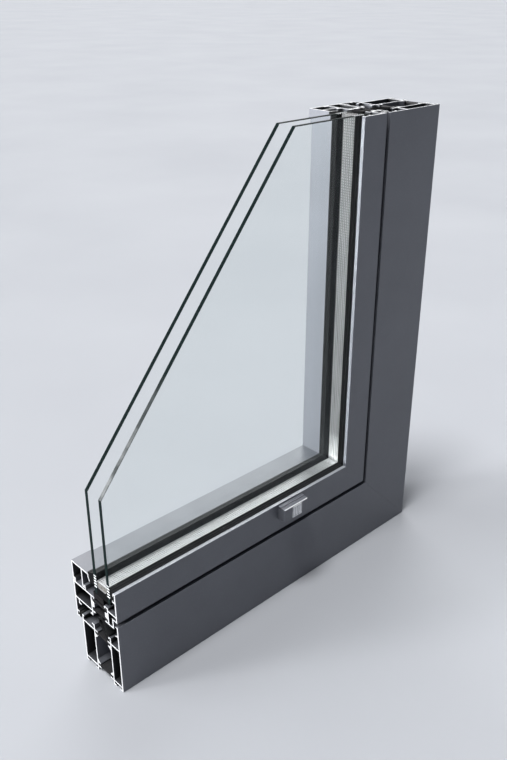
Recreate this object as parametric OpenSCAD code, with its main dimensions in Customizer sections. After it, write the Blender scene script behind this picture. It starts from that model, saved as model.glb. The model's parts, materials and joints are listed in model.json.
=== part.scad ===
// Tilt and turn aluminium window corner: a thermally broken frame corner with its
// sash, double glazing, gaskets, bottom corner hinge, drive rod and drainage cap.
//
// X runs along the bottom rail (the outer frame corner is at x = 0, the cut end is
// at negative x), Y runs from the weather face (y = 0) to the room, Z is up.
// A section point is written (v, u): v is the depth from the weather face, and u is
// the distance inward from the outer edge of the frame, so the rail and the stile
// share one section and meet at a 45 degree mitre.

/* [Sample size] */
// Length of the bottom rail, from the outer corner to the cut end
rail_len = 419; // [360:1:520]
// Height of the stile, from the underside of the frame to the cut end
stile_len = 483; // [420:1:600]
// Height at which the slanted edge of the glass starts on the cut end
glass_low = 208; // [160:1:260]
// Distance of the slanted edge's top end from the outer corner
glass_top_x = 196; // [170:1:260]

/* [Profiles] */
// Wall thickness of the aluminium extrusions
wall = 1.6; // [1.4:0.1:1.8]
// Depth of the frame, from weather face to room face
frame_depth = 60; // [60:0.5:60.5]
// Height of the frame's rebate floor above its underside
rebate_u = 50; // [46:0.5:54]

/* [Glazing] */
// Thickness of each glass pane
pane_t = 4; // [3:0.5:4]
// Depth of the weather side of the outer pane
pane_v = 8.2; // [8.1:0.1:8.4]
// How far the panes reach below the top of the sash's weather lip
glass_bite = 16; // [15:0.5:16.5]

/* [Drainage cap] */
// Distance of the cap's centre from the outer corner
cap_x = 201; // [190:1:230]
// Width of the cap
cap_w = 34; // [32:1:40]
// Height of the cap at the sash face
cap_h = 15.8; // [15:0.1:17]
// How far the cap stands out from the sash face
cap_d = 9; // [8.5:0.5:11]
// Side of the square insert plate
badge_w = 13.4; // [10:0.1:14]

/* [Hinge] */
// Distance of the turn axis from the outer corner
turn_x = 41; // [40:0.5:42]
// Depth of the turn and tilt axes
axis_v = 77; // [76.5:0.5:78]
// Height of the tilt axis
tilt_z = 41; // [40.5:0.5:41.5]
// Radius of the vertical pivot pin
pin_r = 4; // [3.5:0.1:4.2]
// Radius of the horizontal tilt pin
tilt_r = 3.5; // [3:0.1:3.8]

/* [Fixing] */
// Radius of the frame fixing holes
fix_r = 4; // [3:0.25:4.5]
// Depth of the fixing holes' axes from the weather face
fix_v = 50; // [48:0.5:52]
// Spacing of the two holes in the rail
fix_dx = 240; // [180:5:250]
// Spacing of the two holes in the stile
fix_dz = 250; // [180:5:280]

/* [Hidden] */
$fn = 48;
gap = 0.05;                        // between a fitting and the face it sits on
weather_wall = wall + 0.1;         // outermost walls, on the weather and room faces
frame_top = rebate_u + 27;         // top of the frame's weather wall
sash_bottom = frame_top + 5;       // bottom of the sash's weather wall
sash_top = sash_bottom + 32;       // top of the sash's weather lip
sash_floor = sash_bottom + 8.8;    // top of the sash's rebate floor
chamber_u = sash_bottom - 10.6;    // underside of the sash chamber, at the hardware groove
leg_u = rebate_u - 1;              // bottom of the sash's room side leg
bead_u = sash_top - 0.2;           // top of the glazing bead
glass_u = sash_top - glass_bite;   // bottom edge of the panes
inner_pane_v = pane_v + 24 - pane_t; // weather side of the inner pane
sash_v = 69.2;                     // room face of the sash
bead_v = 41.2;                     // weather side edge of the glazing bead
strip_web = 1.6;                   // thickness of the insulating strips
cleat_gap = 0.15;                  // between a corner cleat and the chamber walls
cleat_v = 41.35;                   // weather side of both inner cleats
frame_cleat_u = 5.95;              // outer edge of the frame cleats
frame_cleat_arm = 82;              // reach of the cleats from the frame's outer edge
sash_cleat_arm = 150;
angle_t = 1.4;                     // thickness of the alignment angles

fix_x0 = 90;                       // nearer rail fixing hole, from the outer corner
fix_z0 = 130;                      // lower stile fixing hole

rod_v = 51.5;                      // centre of the hardware groove
rod_slots = [185, 315];            // guide slots, from the outer corner
cam_v = 50.5;                      // depth of the cam's axis
cam_x = 228;                       // rest place of the locking cam
keep_x = cam_x + 18;               // centre of the keep, one stroke away
keep_t = 3.15;                     // thickness of the keep's plate
keep_screw_x = [keep_x - 14, keep_x + 14];
keep_screw_v = cam_v - 0.4;

// Hinge fixing places, as [x, z]
bracket_holes = [[-13, 13], [-13, 38], [-36, 38]];
arm_holes = [[-68, 60], [-88, 60], [-88, 80]];
profile_hole_r = 2.55;             // hinge screw holes in the extrusions
cleat_hole_r = 2.6;                // in the cleats and the sash's alignment angle
plate_hole_r = 2.7;                // in the hinge plates
bracket_x = 46;                    // far edge of the bracket plate, from the corner
bracket_z = 6;                     // lower edge of the bracket plate
bracket_side = 40;
bracket_t = 3.4;
lug_r = 8;                         // half width and end radius of the bracket's lug
lug_z = 7;
lug_h = 11.5;
link_z = 18.9;                     // underside of the pivot link
arm_x0 = turn_x + 9;               // end of the arm's barrel nearest the link
arm_x1 = turn_x + 53;              // far end
arm_w = 32;                        // width of the arm's plate
arm_t = 3.2;

spacer_h = 7.4;                    // height of the glazing spacer
spacer_bevel = 2.6;
spacer_side = 0.35;                // between the spacer and each pane
butyl_h = 4.4;                     // lower edge of the butyl, below the spacer's top
key_arm = 30;                      // reach of the corner key into each spacer
block_x = [150, 330];              // centres of the rail's glazing blocks
block_z = [200, 380];              // lower ends of the stile's glazing blocks
block_len = 60;
block_v = 7;                       // weather side of the blocks
block_w = 32;
block_h = glass_u - sash_floor - 0.3;
block_u = sash_floor + 0.25;       // underside of the blocks
block_end = 0.3;                   // between a block's ends and the foam

slot_z = sash_top - 16.2;          // lower edge of the drainage slot
cap_z1 = sash_top - 1.7;           // top edge of the cap at the sash face
cap_z0 = cap_z1 - cap_h;           // open underside of the cap
cap_slope = 9.5;                   // fall of the cap's top, in degrees
badge_shift = 1.6;                 // insert plate's offset along X from the cap's centre
flap_y = -1.9;                     // flap's axis
flap_z = cap_z1 - 3.6;

dark_alu = [0.40, 0.41, 0.43];
bare_alu = [0.74, 0.75, 0.77];
black = [0.06, 0.06, 0.07];
rubber = [0.09, 0.10, 0.10];
steel = [0.62, 0.63, 0.65];
glass = [0.75, 0.85, 0.86, 0.35];
key_grey = [0.75, 0.75, 0.72];
desiccant_beige = [0.82, 0.80, 0.74];
block_blue = [0.16, 0.30, 0.46];
foam_black = [0.05, 0.05, 0.055];
badge_grey = [0.8, 0.8, 0.8];

// ---------------------------------------------------------------- shared shapes
// A rectangle of the section, from corner to corner.
module box(v0, u0, v1, u1) { translate([v0, u0]) square([v1 - v0, u1 - u0]); }

// An outline drawn in (x, z), given thickness between two depths.
module slab(v0, v1) {
  translate([0, v1, 0]) rotate([90, 0, 0]) linear_extrude(v1 - v0) children();
}
// The two sides of the mitre plane, each a little larger than the profiles.
module rail_side() {
  slab(-40, 120) polygon([[-rail_len - 5, -4], [4, -4], [-170, 170], [-rail_len - 5, 170]]);
}
module stile_side() {
  slab(-40, 120) polygon([[4, -4], [4, stile_len + 5], [-170, stile_len + 5], [-170, 170]]);
}
// A section swept along the rail or the stile, mitred at the corner.
module rail() {
  intersection() {
    translate([-rail_len, 0, 0]) rotate([90, 0, 90]) linear_extrude(rail_len) children();
    rail_side();
  }
}
module stile() {
  intersection() {
    rotate([0, 0, 90]) linear_extrude(stile_len) children();
    stile_side();
  }
}
module around_corner() {
  union() {
    rail() children();
    stile() children();
  }
}
// An L that follows the corner, from u0 to u1 wide, with both arms ending at `arm`.
module corner_ell(u0, u1, arm) {
  polygon([[-u0, u0], [-arm, u0], [-arm, u1], [-u1, u1], [-u1, arm], [-u0, arm]]);
}
// A round ended slot along X.
module long_slot(length, width, depth) {
  straight = length - width;
  translate([-straight / 2, -width / 2, 0]) cube([straight, width, depth]);
  for (side = [-1, 1]) translate([side * straight / 2, 0, 0]) cylinder(r = width / 2, h = depth);
}
// Holes along Y between two depths, at a list of [x, z].
module holes_at(places, radius, y0, y1) {
  for (p = places)
    translate([p[0], y1, p[1]]) rotate([90, 0, 0]) cylinder(r = radius, h = y1 - y0);
}
// Countersinks of a hinge plate whose room face is at `face`.
module countersinks(places, face) {
  for (p = places)
    translate([p[0], face + gap, p[1]]) rotate([90, 0, 0])
      cylinder(r1 = 5.3, r2 = plate_hole_r, h = 2.6);
}
// A countersunk screw along Z with its head's top at z = 0.
module csk_screw(radius, length, head_r, drive_r) {
  difference() {
    union() {
      translate([0, 0, -length]) cylinder(r = radius, h = length - head_r + radius);
      translate([0, 0, -(head_r - radius) - 0.2])
        cylinder(r1 = radius, r2 = head_r, h = head_r - radius);
      translate([0, 0, -0.25]) cylinder(r = head_r, h = 0.25);
    }
    translate([0, 0, -1.6]) cylinder(r = drive_r, h = 2, $fn = 6);
  }
}
module hinge_screws(places, head_y, length) {
  for (p = places)
    translate([p[0], head_y, p[1]]) rotate([-90, 0, 0])
      csk_screw(radius = 2.45, length = length, head_r = 4.75, drive_r = 1.5);
}
// Places a shape on the hinge's vertical axis, or lays it along the tilt axis
// starting a distance x from the outer corner.
module on_turn_axis(z) { translate([-turn_x, axis_v, z]) children(); }
module on_tilt_axis(x) { translate([-x, axis_v, tilt_z]) rotate([0, 90, 0]) children(); }

// ---------------------------------------------------------------- sections
// Where two walls of one section meet, one runs about 0.1 into the other.
module frame_outer_section() {
  box(0, 0, weather_wall, frame_top);
  // thickened top edge
  polygon([[wall, frame_top - 1.6], [3.6, frame_top - 0.6], [3.6, frame_top], [wall, frame_top]]);
  // rib above the rebate floor
  polygon([[wall, rebate_u + 15.4], [5.4, rebate_u + 14.2], [5.4, rebate_u + 15.2],
           [wall, rebate_u + 17.1]]);
  box(wall, rebate_u - wall, 19.4, rebate_u);
  // chamber wall, curled over at the top
  box(13.6, 0, 15.2, rebate_u + 6);
  box(13.6, rebate_u + 4.8, 17.2, rebate_u + 6);
  box(16.2, rebate_u + 3.4, 17.2, rebate_u + 6);
  // upper strip's groove
  polygon([[15.1, rebate_u - 9.4], [19, rebate_u - 6.6], [19, rebate_u - 5.2],
           [15.1, rebate_u - 4.6]]);
  // chamber floor and lower strip's groove
  box(wall, 4.2, 19.8, 5.8);
  polygon([[15.1, 9], [19.2, 9], [19.2, 10.2], [15.1, 13.8]]);
  // lips along the underside
  box(wall, 0, 5.4, 1.4);
  box(10.8, 0, 13.7, 1.4);
}
module frame_inner_section() {
  room = frame_depth;
  // room wall with its lip
  box(room - weather_wall, 0, room, rebate_u + 5.6);
  polygon([[room - wall + 0.1, rebate_u + 5.6], [room - 3.4, rebate_u + 5.6],
           [room - 3.4, rebate_u + 4.6], [room - wall + 0.1, rebate_u + 3.4]]);
  box(35.4, rebate_u - wall, room - 0.1, rebate_u);
  // chamber wall with its lip
  box(39.6, 0, 41.2, rebate_u + 5.6);
  polygon([[41.1, rebate_u + 3.4], [44, rebate_u + 4.6], [44, rebate_u + 5.6],
           [41.1, rebate_u + 5.6]]);
  // upper strip's groove
  polygon([[39.7, rebate_u - 4.6], [36, rebate_u - 5.2], [36, rebate_u - 6.6],
           [39.7, rebate_u - 9.4]]);
  // chamber floor and lower strip's groove
  box(35, 4.2, room - 0.1, 5.8);
  polygon([[39.7, 13.8], [35.6, 10.2], [35.6, 9], [39.7, 9]]);
  // lips along the underside
  box(room - 4.6, 0, room - 0.1, 1.4);
  box(41.1, 0, 44.4, 1.4);
}
// One insulating strip between u0 and u1, with its two feet in the profiles' grooves.
module strip_section(u0, u1) {
  middle = (u0 + u1) / 2;
  box(15.25, u0, 18.9, u1);
  box(36.1, u0, 39.55, u1);
  box(18.8, middle - strip_web / 2, 36.2, middle + strip_web / 2);
}
module frame_strips_section() {
  strip_section(rebate_u - 4.5, rebate_u - wall - 0.1);
  strip_section(5.9, 8.9);
}
module sash_outer_section() {
  // weather wall with its hooked lip
  box(0, sash_bottom, weather_wall, sash_top);
  box(wall, sash_top - 1.5, 3.7, sash_top);
  box(2.9, sash_top - 3, 3.7, sash_top);
  // lower hook of the gasket groove
  box(wall, sash_top - 10.4, 4.9, sash_top - 9.1);
  box(4.1, sash_top - 10.4, 4.9, sash_top - 8);
  // rebate floor, stepped at the chamber wall
  box(wall, sash_bottom + 5.2, 13.5, sash_bottom + 6.8);
  box(13.4, chamber_u + 0.8, 15, sash_floor + 0.2);
  // upper and lower sides of the upper strip's groove
  box(13.4, sash_floor - 1.3, 19.4, sash_floor + 0.2);
  box(18.2, sash_floor - 2.4, 19.4, sash_floor);
  polygon([[14.9, sash_bottom - 4.8], [19, sash_bottom - 3.8], [19, sash_bottom + 1.6],
           [14.9, sash_bottom + 2.6]]);
  // underside and the step up to the weather wall
  box(6.2, chamber_u + 0.8, 19.6, chamber_u + 2.4);
  box(6.2, chamber_u + 0.8, 7.8, sash_bottom + 1.6);
  box(wall, sash_bottom, 7.7, sash_bottom + 1.5);
}
module sash_inner_section() {
  // room wall, rebate floor and its downward lip
  box(sash_v - weather_wall, leg_u, sash_v, sash_floor);
  box(35.4, sash_floor - wall, sash_v - 0.1, sash_floor);
  box(35.4, sash_floor - 2.8, 36.6, sash_floor);
  // chamber wall, rib between the strips and chamber underside
  box(39.6, chamber_u, 41.2, sash_floor - 0.1);
  polygon([[39.7, sash_bottom + 2.6], [36, sash_bottom + 1.6], [36, sash_bottom - 3.8],
           [39.7, sash_bottom - 4.8]]);
  box(35.6, chamber_u, sash_v - 0.1, chamber_u + wall);
  // hardware groove
  box(61.6, chamber_u - 4.8, 63.2, chamber_u + 0.1);
  box(58.9, chamber_u - 4.8, 61.7, chamber_u - 3.2);
  box(39.6, chamber_u - 4.8, 41.2, chamber_u + 0.1);
  box(41.1, chamber_u - 4.8, 44.1, chamber_u - 3.2);
  // groove of the overlap gasket
  box(64.6, leg_u + 6.2, sash_v - 0.1, leg_u + 7.6);
  box(64.6, leg_u + 5.2, 65.8, leg_u + 7.6);
  box(64.6, leg_u, sash_v - 0.1, leg_u + 1.4);
  box(64.6, leg_u, 65.8, leg_u + 2.4);
  // seat of the glazing bead
  box(48.4, sash_floor - 0.1, 49.8, sash_floor + 5);
  box(48.4, sash_floor + 3.6, 51.4, sash_floor + 5);
  box(66.4, sash_floor - 0.1, sash_v, sash_floor + 1.5);
}
module sash_strips_section() {
  strip_section(sash_bottom + 2.7, sash_floor - 2.85);
  strip_section(chamber_u + 2.5, sash_bottom - 4.9);
  // contact rib for the central gasket
  box(24.4, chamber_u + 0.8, 26, chamber_u + 3.4);
}
module bead_section() {
  // top and room wall
  box(bead_v, bead_u - 1.5, sash_v, bead_u);
  box(sash_v - wall, sash_floor + 1.7, sash_v, bead_u - 0.1);
  // room side foot
  box(64.6, sash_floor + 1.7, sash_v - 0.1, sash_floor + 4.7);
  box(64.6, sash_floor + 0.2, 65.9, sash_floor + 2);
  // leg hooked under the seat
  box(52, sash_floor + 1.4, 53.6, bead_u - 0.1);
  box(50.1, sash_floor + 1.4, 52.1, sash_floor + 3);
  // flange beside the inner gasket
  polygon([[bead_v, bead_u - 3.8], [bead_v - 1.6, bead_u - 7], [bead_v - 1.8, bead_u - 8.2],
           [bead_v - 0.4, bead_u - 8.2], [bead_v + 1.5, bead_u - 4],
           [bead_v + 1.5, bead_u - 0.1], [bead_v, bead_u - 0.1]]);
}
// Foot in the sash groove, neck and the wedge that presses on the outer pane.
module outer_gasket_section() {
  top = sash_top;
  face = pane_v - gap;
  polygon([[1.9, top - 8.6], [3.9, top - 8.6], [3.9, top - 7.7], [5.1, top - 7.7],
           [face, top - 9.5], [face, top + 4.4], [face - 0.9, top + 4.8],
           [pane_v - gap - 2, top + 3.6], [3.85, top + 0.5], [3.85, top - 3.2],
           [2.8, top - 3.2], [2.8, top - 1.7], [1.9, top - 1.7]]);
}
module inner_gasket_section() {
  top = bead_u;
  face = inner_pane_v + pane_t + gap;
  edge = bead_v - 0.1;
  polygon([[face, top - 7.4], [face, top + 5.4], [face + 0.9, top + 5.8],
           [face + 2.2, top + 5], [edge + 0.6, top + 2.5], [edge + 1.1, top + 1.8],
           [edge + 1.1, top + 0.1], [edge, top + 0.1], [edge, top - 3.9],
           [edge - 1.7, top - 7.2], [edge - 1.9, top - 9.2], [edge - 4.5, top - 9.2],
           [edge - 5.5, top - 6]]);
}
module central_gasket_section() {
  base = rebate_u;
  difference() {
    polygon([[17.5, base + 1.2], [20.5, base + 1.2], [22, base + 4.5], [30.5, base + 13],
             [31.5, base + 18.6], [29.8, base + 20.2], [26.6, base + 21.9],
             [23.8, base + 21.9], [22.6, base + 20], [18, base + 12], [15.6, base + 9],
             [15.6, base + 6.3], [17.5, base + 6.3]]);
    polygon([[19.4, base + 6.4], [21.6, base + 6.4], [28.8, base + 13.8],
             [29.6, base + 17.8], [26.8, base + 19.6], [25, base + 19.4], [20, base + 11]]);
  }
  // foot behind the curled lip
  box(15.35, base + 0.2, 18, base + 3.1);
}
// Foot and neck in the sash leg's groove, with a hollow bulb on the weather side.
module overlap_gasket_section() {
  base = leg_u;
  box(65.95, base + 1.6, 67.3, base + 6);
  box(64.4, base + 2.6, 66, base + 5);
  difference() {
    polygon([[60.1, base + 2.4], [60.8, base + 1.2], [62.6, base + 1], [64.5, base + 2.2],
             [64.5, base + 5.4], [62.8, base + 6.8], [61, base + 6.6], [60.1, base + 5.2]]);
    polygon([[61, base + 2.8], [61.6, base + 2], [62.6, base + 2], [63.6, base + 3],
             [63.6, base + 4.8], [62.6, base + 5.8], [61.6, base + 5.6], [61, base + 4.8]]);
  }
}
// Bevelled box of the spacer, drawn `inset` inside its outer face.
module spacer_section(inset) {
  v0 = pane_v + pane_t + spacer_side;
  v1 = inner_pane_v - spacer_side;
  u0 = sash_top - spacer_h;
  bevel = spacer_bevel + inset * 0.4;
  polygon([[v0 + inset, sash_top - inset], [v1 - inset, sash_top - inset],
           [v1 - inset, u0 + spacer_bevel], [v1 - bevel, u0 + inset],
           [v0 + bevel, u0 + inset], [v0 + inset, u0 + spacer_bevel]]);
}
module spacer_shell_section() {
  difference() {
    spacer_section(0);
    spacer_section(0.5);
  }
}
module butyl_section() {
  v0 = pane_v + pane_t;
  v1 = inner_pane_v;
  box(v0 + 0.02, sash_top - butyl_h, v0 + 0.33, sash_top - 0.6);
  box(v1 - 0.33, sash_top - butyl_h, v1 - 0.02, sash_top - 0.6);
}
// Fills the space between the panes below the spacer and up its sides to the butyl.
module sealant_section() {
  v0 = pane_v + pane_t + 0.02;
  v1 = inner_pane_v - 0.02;
  u0 = sash_top - spacer_h;
  side_u = sash_top - butyl_h - 0.1;
  polygon([[v0, glass_u], [v1, glass_u], [v1, side_u], [v1 - 0.28, side_u],
           [v1 - 0.28, u0 + 2.57], [v1 - 2.9, u0 - 0.06], [v0 + 2.9, u0 - 0.06],
           [v0 + 0.28, u0 + 2.57], [v0 + 0.28, side_u], [v0, side_u]]);
}
module foam_section() { box(19.8, sash_floor + 0.1, 35.2, glass_u - 0.2); }

// ---------------------------------------------------------------- frame
module frame_rail_outer() {
  color(dark_alu) difference() {
    rail() frame_outer_section();
    // slots in the rebate floor, then in the chamber floor
    for (x = [130, 300]) translate([-x, 8, rebate_u - wall - 1]) long_slot(26, 6, wall + 2);
    for (x = [170, 340]) translate([-x, 8, 3]) long_slot(26, 6, 4);
  }
}
module frame_stile_outer() { color(dark_alu) stile() frame_outer_section(); }
module frame_bracket_holes() {
  holes_at(bracket_holes, profile_hole_r, frame_depth - 4, frame_depth + 2);
}
module frame_rail_inner() {
  color(dark_alu) difference() {
    rail() frame_inner_section();
    for (x = [fix_x0, fix_x0 + fix_dx])
      translate([-x, fix_v, -1]) cylinder(r = fix_r, h = rebate_u + 3);
    frame_bracket_holes();
    for (x = keep_screw_x) translate([-x, keep_screw_v, rebate_u - 4]) cylinder(r = 1.85, h = 5);
  }
}
module frame_stile_inner() {
  color(dark_alu) difference() {
    stile() frame_inner_section();
    for (z = [fix_z0, fix_z0 + fix_dz])
      translate([1, fix_v, z]) rotate([0, -90, 0]) cylinder(r = fix_r, h = rebate_u + 3);
    frame_bracket_holes();
  }
}
module frame_rail_thermal_strips() { color(black) rail() frame_strips_section(); }
module frame_stile_thermal_strips() { color(black) stile() frame_strips_section(); }

// A corner cleat between depths v0 and v1, with section heights u0 to u1 and
// chamfered arm ends. With windows, each arm has a rectangular opening.
module cleat(v0, v1, u0, u1, arm, windows) {
  chamfer = 1.5;
  window_w = u1 - u0 - 8;
  window_len = arm - u1 - 10;
  across = (u0 + u1) / 2;
  along = (arm + u1) / 2 + 1;
  slab(v0, v1) difference() {
    polygon([[-u0, u0], [-arm, u0], [-arm, u1 - chamfer], [-arm + chamfer, u1], [-u1, u1],
             [-u1, arm - chamfer], [-u1 + chamfer, arm], [-u0, arm]]);
    if (windows) {
      translate([-along, across]) square([window_len, window_w], center = true);
      translate([-across, along]) square([window_w, window_len], center = true);
    }
  }
}
module frame_cleat(v0, v1) {
  cleat(v0, v1, frame_cleat_u, rebate_u - wall - cleat_gap, frame_cleat_arm, windows = true);
}
module frame_cleat_outer() { color(bare_alu) frame_cleat(weather_wall + cleat_gap, 13.45); }
module frame_cleat_inner() {
  color(bare_alu) difference() {
    frame_cleat(cleat_v, frame_depth - weather_wall - cleat_gap);
    holes_at(bracket_holes, cleat_hole_r, frame_depth - 9, frame_depth + 2);
  }
}
module frame_alignment_angle() {
  room_face = 3.7;
  color(steel) slab(room_face - angle_t, room_face)
    corner_ell(rebate_u + 1, rebate_u + 12, rebate_u + 46);
}
module central_gasket() { color(rubber) around_corner() central_gasket_section(); }
module lock_keep() {
  hook_w = 19;
  hook_v = cam_v + 4.4;
  color(steel) difference() {
    union() {
      // plate, upright and the upright's thicker head
      translate([-keep_x - 19, 44.3, rebate_u + gap]) cube([38, 12.0, keep_t]);
      translate([-keep_x - hook_w / 2, hook_v, rebate_u + 3]) cube([hook_w, 1.4, 10]);
      translate([-keep_x - hook_w / 2, hook_v, rebate_u + 6.2]) cube([hook_w, 3.6, 6.8]);
    }
    for (x = keep_screw_x) {
      translate([-x, keep_screw_v, rebate_u - 1]) cylinder(r = 2.0, h = 10);
      translate([-x, keep_screw_v, rebate_u + 1.2]) cylinder(r1 = 2.0, r2 = 4.05, h = 2.05);
    }
  }
}
module keep_screws() {
  color(steel) for (x = keep_screw_x)
    translate([-x, keep_screw_v, rebate_u + keep_t])
      csk_screw(radius = 1.75, length = 9.4, head_r = 3.7, drive_r = 1.2);
}

// ---------------------------------------------------------------- bottom hinge
// Plate on the frame's room face, with a round ended lug that holds the pivot pin.
module pivot_bracket() {
  y0 = frame_depth + gap;
  color(steel) difference() {
    union() {
      translate([-bracket_x, y0, bracket_z]) cube([bracket_side, bracket_t, bracket_side]);
      translate([-turn_x - lug_r, y0, lug_z]) cube([2 * lug_r, axis_v - y0, lug_h]);
      on_turn_axis(lug_z) cylinder(r = lug_r, h = lug_h);
    }
    on_turn_axis(5) cylinder(r = pin_r + gap, h = 20);
    holes_at(bracket_holes, plate_hole_r, frame_depth - 1, frame_depth + 6);
    countersinks(bracket_holes, y0 + bracket_t);
  }
}
module bracket_screws() {
  color(steel) hinge_screws(bracket_holes, frame_depth + bracket_t - 0.1, length = 12);
}
module pivot_pin() {
  color(steel) union() {
    on_turn_axis(4.9) cylinder(r = pin_r + 2, h = 2);
    on_turn_axis(6.8) cylinder(r = pin_r, h = 24.2);
    on_turn_axis(31) cylinder(r1 = pin_r, r2 = pin_r - 1.2, h = 1.2);
  }
}
// Hollow cover over the bracket's plate, open towards the frame.
module bracket_cover() {
  y0 = frame_depth + bracket_t + 2 * gap;
  outer = bracket_side + 2;
  hollow = bracket_side + 0.2;
  notch_z = 4;
  notch_h = link_z - notch_z;
  notch_half = lug_r + 0.3;
  color(dark_alu) difference() {
    translate([-bracket_x - 1, y0 - 3.2, bracket_z - 1]) cube([outer, 6.4, outer]);
    translate([-bracket_x - 0.1, y0 - 4, bracket_z - 0.1]) cube([hollow, 5.8, hollow]);
    // notch around the lug, open to the side away from the corner
    translate([-turn_x - notch_half, y0 - 4, notch_z]) cube([2 * notch_half, 9, notch_h]);
    translate([-50, y0 - 4, notch_z]) cube([10, 9, notch_h]);
  }
}
// Upright link that turns on the pivot pin and carries the tilt pin.
module pivot_link() {
  link_r = 7.6;
  color(steel) difference() {
    union() {
      on_turn_axis(link_z) cylinder(r = link_r, h = 30.6);
      on_turn_axis(49.4) cylinder(r1 = link_r, r2 = link_r - 1.2, h = 1.2);
    }
    on_turn_axis(18) cylinder(r = pin_r + gap, h = 14.6);
    on_tilt_axis(turn_x + 20) cylinder(r = tilt_r + 0.02, h = 22.5);
  }
}
module tilt_pin() {
  color(steel) union() {
    on_tilt_axis(turn_x + 53.5) cylinder(r = tilt_r, h = 55.9);
    on_tilt_axis(turn_x + 56) cylinder(r = tilt_r + 1.8, h = 2.5);
  }
}
// Barrel on the tilt pin, joined to a plate on the sash's room face.
module hinge_arm() {
  y0 = sash_v + gap;
  barrel_len = arm_x1 - arm_x0;
  color(steel) difference() {
    union() {
      on_tilt_axis(arm_x1) cylinder(r = 6.8, h = barrel_len);
      translate([-arm_x1, y0, tilt_z + 9]) cube([arm_w, arm_t, 38]);
      translate([-arm_x1, y0 + 0.95, tilt_z]) cube([barrel_len, 4.6, 9.1]);
      translate([-arm_x1, y0, tilt_z + 8.2]) cube([barrel_len, 5.55, 3.6]);
    }
    on_tilt_axis(arm_x1 + 1) cylinder(r = tilt_r + gap, h = 60);
    holes_at(arm_holes, plate_hole_r, sash_v - 1, sash_v + 9);
    countersinks(arm_holes, y0 + arm_t);
  }
}
module arm_screws() {
  color(steel) hinge_screws(arm_holes, sash_v + arm_t - 0.1, length = 8.4);
}
// Hollow cover over the arm's plate, open towards the sash and below.
module arm_cover() {
  y0 = sash_v + arm_t + 2 * gap;
  z0 = tilt_z + 12;
  color(dark_alu) difference() {
    translate([-arm_x1 - 1, y0 - 3.1, z0]) cube([arm_w + 2, 6.3, 36]);
    translate([-arm_x1 - 0.1, y0 - 4, z0 - 1]) cube([arm_w + 0.2, 5.8, 36.1]);
  }
}

// ---------------------------------------------------------------- sash
module sash_rail_outer() {
  color(dark_alu) difference() {
    rail() sash_outer_section();
    // drainage slot behind the cap
    translate([-cap_x, 2.5, slot_z + 2.4]) rotate([90, 0, 0]) long_slot(26, 4.8, 4);
    // slots in the rebate floor
    for (x = [120, 320]) translate([-x, 10.4, sash_bottom + 4]) long_slot(20, 4, 4);
  }
}
module sash_stile_outer() { color(dark_alu) stile() sash_outer_section(); }
module sash_arm_holes() { holes_at(arm_holes, profile_hole_r, sash_v - 4, sash_v + 2); }
module sash_rail_inner() {
  color(dark_alu) difference() {
    rail() sash_inner_section();
    sash_arm_holes();
    for (x = rod_slots) translate([-x, rod_v, chamber_u - 1]) cylinder(r = 1.65, h = 4);
  }
}
module sash_stile_inner() {
  color(dark_alu) difference() {
    stile() sash_inner_section();
    sash_arm_holes();
  }
}
module sash_rail_thermal_strips() { color(black) rail() sash_strips_section(); }
module sash_stile_thermal_strips() { color(black) stile() sash_strips_section(); }
module sash_cleat_outer() {
  color(bare_alu)
    cleat(7.95, 13.25, chamber_u + 2.55, sash_bottom + 5.05, sash_cleat_arm, windows = false);
}
module sash_cleat_inner() {
  color(bare_alu) difference() {
    cleat(cleat_v, sash_v - weather_wall - cleat_gap, chamber_u + wall + cleat_gap,
          sash_floor - wall - cleat_gap, sash_cleat_arm, windows = true);
    holes_at(arm_holes, cleat_hole_r, sash_v - 7, sash_v);
  }
}
module sash_alignment_angle() {
  room_face = 67.2;
  color(steel) difference() {
    slab(room_face - angle_t, room_face)
      corner_ell(sash_floor - 33, sash_floor - 23, sash_floor + 10);
    holes_at(arm_holes, cleat_hole_r, sash_v - 5, sash_v);
  }
}
module glazing_bead_rail() { color(dark_alu) rail() bead_section(); }
module glazing_bead_stile() { color(dark_alu) stile() bead_section(); }
module outer_glazing_gasket() { color(rubber) around_corner() outer_gasket_section(); }
module inner_glazing_gasket() { color(rubber) around_corner() inner_gasket_section(); }
module overlap_gasket() { color(rubber) around_corner() overlap_gasket_section(); }

// ---------------------------------------------------------------- glazing
module pane(v, top_x) {
  slab(v, v + pane_t)
    polygon([[-glass_u, glass_u], [-rail_len, glass_u], [-rail_len, glass_low],
             [-top_x, stile_len], [-glass_u, stile_len]]);
}
module outer_pane() { color(glass) pane(pane_v, glass_top_x); }
module inner_pane() { color(glass) pane(inner_pane_v, glass_top_x - 1); }
module spacer_rail() { color(bare_alu) rail() spacer_shell_section(); }
module spacer_stile() { color(bare_alu) stile() spacer_shell_section(); }
// The part of the spacer taken up by the corner key, with its arms `grow` longer.
module key_region(grow) {
  slab(-20, 80) corner_ell(0, sash_top + 10, sash_top + key_arm + grow);
}
module spacer_corner_key() {
  color(key_grey) intersection() {
    around_corner() spacer_section(0.65);
    key_region(0);
  }
}
module desiccant() {
  color(desiccant_beige) {
    difference() {
      rail() spacer_section(0.6);
      key_region(0.2);
    }
    difference() {
      stile() spacer_section(0.6);
      key_region(0.2);
    }
  }
}
module butyl_seal() { color(black) around_corner() butyl_section(); }
module edge_sealant() { color(black) around_corner() sealant_section(); }

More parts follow.
